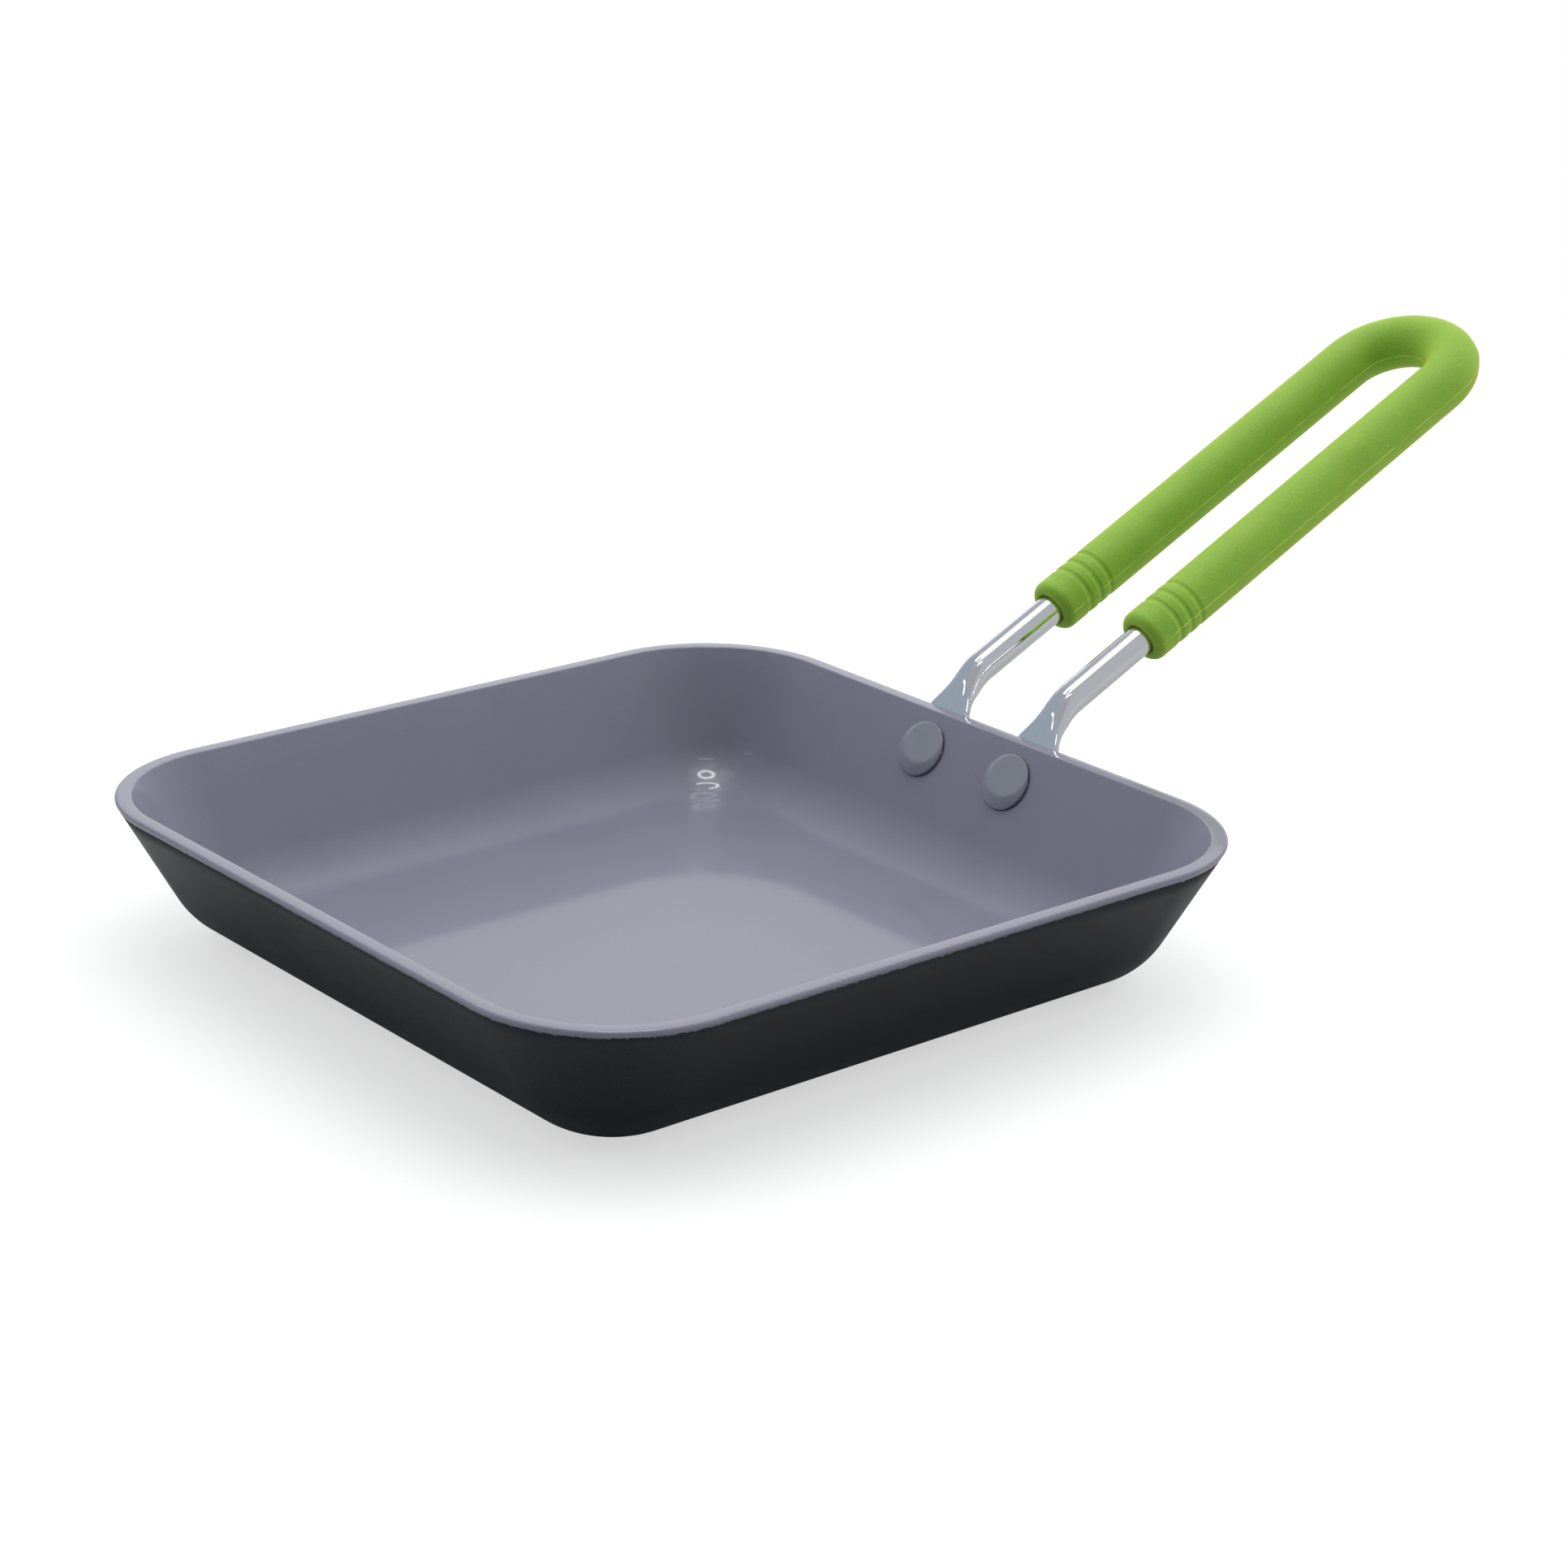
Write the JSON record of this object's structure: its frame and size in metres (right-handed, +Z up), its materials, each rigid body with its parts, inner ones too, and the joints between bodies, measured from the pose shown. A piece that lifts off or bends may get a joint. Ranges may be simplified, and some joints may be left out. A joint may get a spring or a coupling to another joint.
{
  "type": "egg pan",
  "caption": "Small square egg pan with sloping walls, grey ceramic lining and a long looped tube handle with a soft green grip sleeve.",
  "frame": {"origin": "centre of the pan's flat underside", "axes": "+Y from the pan along the handle, +Z up, +X to the right seen from the front with the handle pointing away"},
  "size_m": [0.127, 0.2286, 0.0743],
  "materials": {
    "black_enamel": "satin black baked coating on aluminium",
    "grey_ceramic": "semi-gloss grey non-stick ceramic coating",
    "chromed_tube": "bright chrome plating on thin steel tube",
    "green_silicone": "matt moulded silicone",
    "coated_rivet": "grey coated aluminium, semi-gloss"
  },
  "bodies": {
    "root": {"pan_body": "black_enamel", "interior_lining": "grey_ceramic", "handle_tube": "chromed_tube", "grip_sleeve": "green_silicone", "rivet_left": "coated_rivet", "rivet_right": "coated_rivet"}
  },
  "joints": []
}
